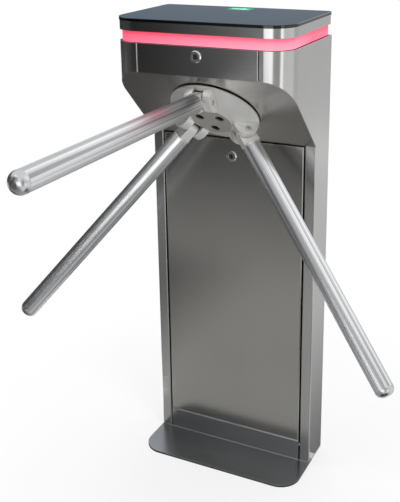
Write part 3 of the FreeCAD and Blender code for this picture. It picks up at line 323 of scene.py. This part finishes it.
# Lid: a lit acrylic band, a steel tray and rim, and a sheet of dark glass glued on top.
# The band is opal acrylic with red light-emitting diodes behind it; it is reddest at the top, where they are
# nearest, and palest where the strip bends round the front right corner and the diodes crowd.
band_bottom, band_top, band_knee = 0.9725, 0.995, 0.55
crowd_left, crowd_right, crowd_front, crowd_back = -0.165, 0.13, -0.17, -0.06
band, tree = begin("lit_opal_acrylic")
place = add(tree, "SeparateXYZ", {0: add(tree, "TexCoord").outputs["Object"]})
rise = add(tree, "MapRange", {"Value": place.outputs[2], "From Min": band_bottom,
                              "From Max": band_top}).outputs[0]
across = add(tree, "MapRange", {"Value": place.outputs[0], "From Min": crowd_left,
                                "From Max": crowd_right}).outputs[0]
behind = add(tree, "MapRange", {"Value": place.outputs[1], "From Min": crowd_front, "From Max": crowd_back,
                                "To Min": 1.0, "To Max": 0.0}).outputs[0]
crowd = add(tree, "Math", {0: across, 1: behind}, operation="MULTIPLY").outputs[0]
deep = add(tree, "ValToRGB", {"Fac": rise})
pale = add(tree, "ValToRGB", {"Fac": rise})
reds = ((deep, "#ee7590", "#ec6682", "#de2f4d"), (pale, "#ffb0c6", "#fd98b0", "#f0506e"))
for ramp, low, knee, high in reds:
    ramp.color_ramp.elements[0].color = linear(low)
    ramp.color_ramp.elements[1].color = linear(high)
    ramp.color_ramp.elements.new(band_knee).color = linear(knee)
red = add(tree, "Mix", {0: crowd, 6: deep.outputs[0], 7: pale.outputs[0]}, data_type="RGBA").outputs[2]
glow = add(tree, "BsdfPrincipled", {"Base Color": linear("#c8283f"), "Roughness": 0.35, "IOR": 1.49,
                                    "Emission Color": red, "Emission Strength": 0.92})
add(tree, "OutputMaterial", {"Surface": glow.outputs[0]})
coat(band, "light_band")


# Moulded or lacquered plastic: an even tone with a fine grain that breaks up its shine.
# The real grain is about 0.1 mm; it is drawn at 0.9 mm or more here so that it shows.
def plain_plastic(name, dark, light, rough, grain=0.0009):
    """Plastic with a fine moulded grain of one size, between two tones."""
    grain_depth = 0.0002
    material, tree = begin(name)
    place = add(tree, "TexCoord").outputs["Object"]
    texture = add(tree, "TexNoise", {"Vector": place, "Scale": 1 / grain, "Detail": 2.0}).outputs[0]
    tone = add(tree, "Mix", {0: texture, 6: linear(dark), 7: linear(light)}, data_type="RGBA").outputs[2]
    relief = add(tree, "Bump", {"Height": texture, "Strength": 0.1, "Distance": grain_depth}).outputs[0]
    plastic = add(tree, "BsdfPrincipled", {"Base Color": tone, "Roughness": rough, "IOR": 1.5,
                                           "Normal": relief})
    add(tree, "OutputMaterial", {"Surface": plastic.outputs[0]})
    return material


coat(plain_plastic("white_circuit_strip", "#cfcac6", "#e4e0dc", rough=0.5), "light_strip")
coat(zinc, "lid_tray", "lid_catch", "hinge_fixed_leaves", "hinge_moving_leaves")
rim_sheet = brushed_stainless("rim_stainless", ALONG_X, "#b4b4b4", "#bcbcbc", rough=0.2, smear=0.6)
coat(rim_sheet, "lid_rim")

# The glass is painted black behind: a deep dark mirror with faint smears from hands.
smear_size = 0.06
glass, tree = begin("back_painted_glass")
place = add(tree, "TexCoord").outputs["Object"]
smears = add(tree, "TexNoise", {"Vector": place, "Scale": 1 / smear_size, "Detail": 3.0}).outputs[0]
sheen = add(tree, "MapRange", {"Value": smears, "To Min": 0.04, "To Max": 0.09}).outputs[0]
tone = add(tree, "Mix", {0: smears, 6: linear("#05070a"), 7: linear("#0a0d11")}, data_type="RGBA").outputs[2]
pane = add(tree, "BsdfPrincipled", {"Base Color": tone, "Roughness": sheen, "IOR": 1.52})
add(tree, "OutputMaterial", {"Surface": pane.outputs[0]})
coat(glass, "lid_glass")
coat(plain_plastic("reader_housing", "#101112", "#1c1d1e", rough=0.5), "reader_module")


# Direction light: a green acrylic window let into the glass, brighter over the diode in its middle,
# with a raised arrow of clear acrylic that carries more of the light.
def lit_acrylic(name, base, rim, heart):
    """Lit acrylic that goes from the heart's colour over the diode to the rim's colour."""
    heart_reach, rim_reach = 0.004, 0.026
    low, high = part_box("indicator_light")
    middle = [(a + b) / 2 for a, b in zip(low, high)]
    material, tree = begin(name)
    place = add(tree, "TexCoord").outputs["Object"]
    away = add(tree, "VectorMath", {0: place, 1: middle}, operation="DISTANCE").outputs["Value"]
    share = add(tree, "MapRange", {"Value": away, "From Min": heart_reach, "From Max": rim_reach}).outputs[0]
    glow = add(tree, "Mix", {0: share, 6: linear(heart), 7: linear(rim)}, data_type="RGBA").outputs[2]
    window = add(tree, "BsdfPrincipled", {"Base Color": linear(base), "Roughness": 0.2, "IOR": 1.49,
                                          "Emission Color": glow, "Emission Strength": 0.8})
    add(tree, "OutputMaterial", {"Surface": window.outputs[0]})
    return material


coat(lit_acrylic("lit_green_acrylic", "#0c5a3c", "#1f9a68", "#2fbe87"), "indicator_light")
clear_acrylic = lit_acrylic("lit_clear_acrylic", "#5fae90", "#8fe6c0", "#c8fae4")
tip, neck, shaft, barb = 0.019, 0.005, 0.0025, 0.0085
window_y, window_top, relief_height = 0.008, 1.0200, 0.0004
draft_x, draft_y = 0.97, 0.92
lower = [(-tip, -shaft), (neck, -shaft), (neck, -barb)]
outline = lower + [(tip, 0.0)] + [(x, -y) for x, y in reversed(lower)]
arrow = bmesh.new()
foot = [arrow.verts.new((x, window_y + y, window_top - relief_height)) for x, y in outline]
drawn_in = [(x * draft_x, y * draft_y) for x, y in outline]
crown = [arrow.verts.new((x, window_y + y, window_top + relief_height)) for x, y in drawn_in]
loft(arrow, [foot, crown])
piece("direction_arrow", arrow, clear_acrylic, "lid")

# Hinge screws: stainless button screws, turned, with a broached hexagon socket like those of the arms' pins.
# They hold the hinges' leaves, four to the cabinet's back and four to the lid's rim.
leaf_face, across_places = 0.0415, (-0.123, -0.097, 0.097, 0.123)
for name, body, height in (("back_hinge_screws", "cabinet", 0.95575), ("lid_hinge_screws", "lid", 1.0045)):
    screws = bmesh.new()
    for across in across_places:
        backwards = Matrix.Rotation(math.radians(-90), 4, "X")
        seat = Matrix.Translation((across, leaf_face, height)) @ backwards
        button_screw(screws, seat, radius=0.0038, height=0.0022)
    piece(name, screws, screw_steel, body)

# Mechanism behind the slope: a zinc-plated plate bolted to two brackets, with ball bearings for the shaft,
# milled gears, disc and pawls, and two solenoids whose plungers push the pawls. Hardening leaves steel dark
# and dull, grinding leaves it bright, and the coils are in matt black plastic.
coat(zinc, "mechanism_plate", "mechanism_brackets", "mechanism_bolts", "board_standoffs")
bearing_steel = bright_metal("ground_bearing_steel", "#a9abad", "#cfd1d3", rough=0.15)
coat(bearing_steel, "bearing_outer_races", "bearing_inner_races", "bearing_balls")
hardened_steel = bright_metal("hardened_steel", "#4a4b4e", "#6e6f72", rough=0.34, spot=0.01)
coat(hardened_steel, "locking_disc", "main_gear", "crank_gear", "left_pawl", "right_pawl")
coat(plain_plastic("black_coil_plastic", "#151516", "#242425", rough=0.45), "solenoids")
coat(bright_metal("ground_plunger_steel", "#9fa1a3", "#c9cbcd", rough=0.18), "left_plunger", "right_plunger")

# Centring spring: spring wire wound into an even coil, with a hook at each end round the crank's pin and its
# post. It takes the place of the plain sleeve, which is hidden.
# Oil tempering leaves the wire dark with a dull shine.
wire, hook, lead, pull = 0.0006, 0.0039, 0.0012, 0.003
turns, steps, bend_steps, sides = 18, 24, 8, 8
hook_from, hook_to, hook_step, leave_turn = 60, 340, 14, 20
hook_angles = [math.radians(angle) for angle in range(hook_from, hook_to + 1, hook_step)]
leave_angle = math.radians(leave_turn)
low, high = (Vector(corner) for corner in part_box("centring_spring"))
middle = (low + high) / 2
coil = (high.y - low.y) / 2 - wire
pin_half = (high.x - low.x) / 2 - hook - wire
coil_half = pin_half - hook - lead
left_end = [Vector((hook * math.cos(a) - pin_half, hook * math.sin(a), 0)) for a in hook_angles]
leave = Vector((math.sin(leave_angle), math.cos(leave_angle), 0))
coil_start = Vector((-coil_half, coil, 0))
bend = [left_end[-1], left_end[-1] + pull * leave, coil_start - Vector((0, 0, pull)), coil_start]
for i in range(1, bend_steps):
    t = i / bend_steps
    s = 1 - t
    weights = (s ** 3, 3 * t * s ** 2, 3 * t ** 2 * s, t ** 3)
    left_end.append(sum((weight * point for weight, point in zip(weights, bend)), Vector()))
route = list(left_end)
for i in range(turns * steps + 1):
    a = 2 * math.pi * i / steps
    along = 2 * coil_half * i / (turns * steps) - coil_half
    route.append(Vector((along, coil * math.cos(a), coil * math.sin(a))))
route += [Vector((-p.x, p.y, -p.z)) for p in reversed(left_end)]
around = [2 * math.pi * k / sides for k in range(sides)]
spring = bmesh.new()
rings = []
across = Vector((0, 0, 1))
for i, point in enumerate(route):
    ahead = (route[min(i + 1, len(route) - 1)] - route[max(i - 1, 0)]).normalized()
    across = (across - across.dot(ahead) * ahead).normalized()
    other = ahead.cross(across)
    ring = [point + wire * (math.cos(a) * across + math.sin(a) * other) for a in around]
    rings.append([spring.verts.new(middle + hub_turn @ spot) for spot in ring])
loft(spring, rings)
spring_wire = bright_metal("tempered_spring_wire", "#35363a", "#55565a", rough=0.3)
coil_spring = piece("coil_spring", spring, spring_wire, "cabinet", crease=60)
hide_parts("centring_spring")

# Electronics on the inside of the back: a circuit board under green lacquer, screwed on four standoffs,
# and a power supply in a folded aluminium case, which is a pale satin grey.
coat(plain_plastic("green_lacquer", "#0c3b22", "#14502f", rough=0.35, grain=0.004), "control_board")
coat(bright_metal("folded_aluminium", "#9c9e9f", "#bfc1c2", rough=0.35, spot=0.02), "power_supply")


# Set: a floor of white paper in a white room. Both are plain white to the camera and in reflections, but
# light the part less than that, and near its foot the paper keeps the part's shadow.
def seen_directly(tree):
    """One for rays from the camera, a reflection or clear glass, and nought for the rest."""
    ray = add(tree, "LightPath").outputs
    seen = add(tree, "Math", {0: ray["Is Camera Ray"], 1: ray["Is Glossy Ray"]},
               operation="MAXIMUM").outputs[0]
    return add(tree, "Math", {0: seen, 1: ray["Is Transmission Ray"]}, operation="MAXIMUM").outputs[0]


WHITE = (1, 1, 1, 1)
reach, grey_to, white_from = 6.0, 0.25, 0.8
corners = [(-reach, -reach, 0), (reach, -reach, 0), (reach, reach, 0), (-reach, reach, 0)]
floor_mesh = bpy.data.meshes.new("floor")
floor_mesh.from_pydata(corners, [], [(0, 1, 2, 3)])
floor = bpy.data.objects.new("floor", floor_mesh)
paper, tree = begin("white_paper")
seen = seen_directly(tree)
place = add(tree, "TexCoord").outputs["Object"]
away = add(tree, "VectorMath", {0: place}, operation="LENGTH").outputs["Value"]
fade = add(tree, "MapRange", {"Value": away, "From Min": grey_to, "From Max": white_from,
                              "To Min": 0.7, "To Max": 1.0}, interpolation_type="SMOOTHSTEP").outputs[0]
share = add(tree, "Math", {0: seen, 1: fade}, operation="MULTIPLY").outputs[0]
matt = add(tree, "BsdfDiffuse", {"Color": linear("#e6e6e6")})
lift = add(tree, "Emission", {"Color": WHITE, "Strength": 1.0})
both = add(tree, "MixShader", {0: share, 1: matt.outputs[0], 2: lift.outputs[0]})
add(tree, "OutputMaterial", {"Surface": both.outputs[0]})
floor_mesh.materials.append(paper)
bpy.context.scene.collection.objects.link(floor)

world = bpy.data.worlds.new("white_room")
world.use_nodes = True
tree = world.node_tree
tree.nodes.clear()
soft = add(tree, "Background", {"Color": WHITE, "Strength": 0.55})
white = add(tree, "Background", {"Color": WHITE, "Strength": 1.0})
mixed = add(tree, "MixShader", {0: seen_directly(tree), 1: soft.outputs[0], 2: white.outputs[0]})
add(tree, "OutputWorld", {"Surface": mixed.outputs[0]})
bpy.context.scene.world = world


# Cards: boards that stand far from the part or lie on the floor, as the dark and bright sides of a room do.
# They show in reflections only, so that the bright metal has something to mirror.
def card(name, corners, tone, far_tone=None, axis=0, start=0.0, stop=1.0, strength=1.0):
    """A board that only reflections see, in one tone or graded to another along an axis."""
    mesh = bpy.data.meshes.new(name)
    mesh.from_pydata(corners, [], [(0, 1, 2, 3)])
    board = bpy.data.objects.new(name, mesh)
    material, tree = begin(name + "_tone")
    across = add(tree, "SeparateXYZ", {0: add(tree, "TexCoord").outputs["Object"]}).outputs[axis]
    share = add(tree, "MapRange", {"Value": across, "From Min": start, "From Max": stop}).outputs[0]
    mixed = add(tree, "Mix", {0: share, 6: linear(tone), 7: linear(far_tone or tone)},
                data_type="RGBA").outputs[2]
    light = add(tree, "Emission", {"Color": mixed, "Strength": strength})
    add(tree, "OutputMaterial", {"Surface": light.outputs[0]})
    mesh.materials.append(material)
    bpy.context.scene.collection.objects.link(board)
    board.visible_camera = False
    board.visible_diffuse = False
    board.visible_transmission = False
    board.visible_shadow = False


def upright_card(name, left, right, low, high, tone, **grade):
    """A board standing between two points of the plan, from one height to another."""
    card(name, [(*left, low), (*right, low), (*right, high), (*left, high)], tone, **grade)


def lying_card(name, low, high, tone, level=0.004, **grade):
    """A board on the floor between two corners of the plan."""
    corners = [(low[0], low[1]), (high[0], low[1]), (high[0], high[1]), (low[0], high[1])]
    card(name, [(*corner, level) for corner in corners], tone, **grade)


# In front, to the right and high behind: dark at the left, bright ahead of the part, grey towards the right.
front_far, front_left, front_right, right_near = (-4.2, -3.5), (-1.0, -3.5), (1.3, -3.5), (2.2, -1.75)
upright_card("front_card", front_far, front_left, 0.0, 4.0, "#060606", far_tone="#9a9a9a",
             start=-2.0, stop=-1.0)
upright_card("high_softbox", (-3.4, -3.5), front_left, 4.0, 5.2, "#ffffff", strength=2.5)
upright_card("front_left_card", (-4.2, -3.45), (-2.8, -3.45), 0.9, 3.2, "#d0d0d0")
upright_card("front_softbox", front_left, front_right, 0.0, 1.1, "#ffffff", strength=2.3)
upright_card("front_upper_card", front_left, front_right, 1.1, 2.7, "#646464", far_tone="#ffffff",
             start=-0.2, stop=0.6, strength=1.6)
upright_card("right_card", front_right, right_near, 0.0, 2.4, "#b0b0b0")
upright_card("right_softbox", right_near, (2.4, -1.25), 0.0, 1.0, "#ffffff", strength=2.1)
upright_card("right_upper_card", right_near, (2.8, -0.3), 1.0, 1.6, "#c0c0c0")
upright_card("back_softbox", (-0.6, 2.6), (1.5, 2.6), 1.8, 3.4, "#ffffff", strength=1.8)

# On the floor: greys all round, a near-black board along the plate's edge as a painted shadow under it, and
# a bright board that shows in the slope.
lying_card("far_floor_card", front_far, (0.3, -1.0), "#2c2c2c", far_tone="#b4b4b4",
           axis=1, start=-2.5, stop=-0.9)
lying_card("near_floor_card", (-1.7, -1.0), (0.3, -0.02), "#606060", far_tone="#b8b8b8",
           start=-0.65, stop=-0.3)
lying_card("right_floor_card", (0.3, -0.9), (1.0, -0.25), "#404040")
plate_low, plate_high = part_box("base_plate")
margin, edge_back = 0.012, -0.02
edge_low = (plate_low[0] - margin, plate_low[1] - margin)
edge_high = (plate_high[0] + margin, edge_back)
# Painted shadow: the shade under the plate's edge, as a near-black board that only reflections see.
lying_card("plate_edge_shadow_card", edge_low, edge_high, "#141414", level=0.0005)
lying_card("left_floor_card", (-1.6, -0.05), (-0.5, 1.2), "#585858")
lying_card("back_floor_card", (-0.5, 0.08), (-0.25, 1.2), "#585858")
lying_card("slope_reflector", (-0.5, -0.2), (-0.25, 0.06), "#ffffff", strength=1.9)
lying_card("side_floor_card", (0.18, 0.0), (1.0, 2.2), "#8c8c8c", far_tone="#e4e4e4", start=0.2, stop=0.45)

# To the left, behind and above: dark at the left, bluish grey behind for the glass, white over the right.
upright_card("left_card", (-3.8, -3.5), (-3.2, 2.4), 0.0, 2.6, "#404040")
upright_card("right_back_card", (0.6, 3.2), (3.2, 1.6), 0.0, 1.5, "#dadada")
lying_card("far_left_floor_card", (-3.2, 1.2), (-0.5, 2.8), "#303030")
overhead = [(1.3, -0.8, 2.4), (2.1, -0.8, 1.7), (2.1, 0.9, 1.7), (1.3, 0.9, 2.4)]
card("overhead_card", overhead, "#ffffff", strength=1.4)
upright_card("back_card", (-3.4, 3.0), (0.0, 3.0), 0.9, 2.3, "#8392a2", far_tone="#929eaa",
             start=-2.4, stop=-0.6)


# Lamps: three large softboxes at a plain level, a key from the right front, a fill from the left, and one
# from above and behind. They don't show in reflections, which the cards give.
def lamp(name, place, size, power):
    """A rectangular softbox that faces the middle of the part."""
    part_middle = Vector((0, -0.1, 0.6))
    light = bpy.data.lights.new(name, "AREA")
    light.shape = "RECTANGLE"
    light.size, light.size_y = size
    light.energy = power
    holder = bpy.data.objects.new(name, light)
    holder.location = place
    holder.rotation_euler = (part_middle - Vector(place)).to_track_quat("-Z", "Y").to_euler()
    bpy.context.scene.collection.objects.link(holder)
    holder.visible_glossy = False


lamp("key_softbox", (1.9, -1.3, 2.3), size=(0.9, 1.4), power=34)
lamp("fill_softbox", (-2.0, -0.7, 2.2), size=(1.0, 1.4), power=22)
lamp("top_softbox", (0.0, 0.7, 2.7), size=(1.4, 1.0), power=24)

# Camera: a little above the lid and right of the front, with the lens that the photograph's perspective
# gives. The focal length and the shift of the picture's middle are in pixels of the photograph.
eye = Vector((0.7668, -1.6876, 1.2424))
yaw, pitch, roll = (math.radians(angle) for angle in (26.63, -17.19, -0.85))
picture_height, focal, shift_right, shift_up, sensor = 502, 882.8, -7.1, -80, 36
ahead = Vector((-math.sin(yaw) * math.cos(pitch), math.cos(yaw) * math.cos(pitch), math.sin(pitch)))
right = Vector((math.cos(yaw), math.sin(yaw), 0))
up = right.cross(ahead)
tilted_right = math.cos(roll) * right + math.sin(roll) * up
tilted_up = -math.sin(roll) * right + math.cos(roll) * up
lens = bpy.data.cameras.new("camera")
lens.sensor_width = sensor
lens.lens = focal * sensor / picture_height
lens.shift_x = shift_right / picture_height
lens.shift_y = shift_up / picture_height
camera = bpy.data.objects.new("camera", lens)
turn = Matrix((tilted_right, tilted_up, -ahead)).transposed().to_4x4()
camera.matrix_world = Matrix.Translation(eye) @ turn
bpy.context.scene.collection.objects.link(camera)
bpy.context.scene.camera = camera
bpy.context.scene.view_settings.view_transform = "Standard"
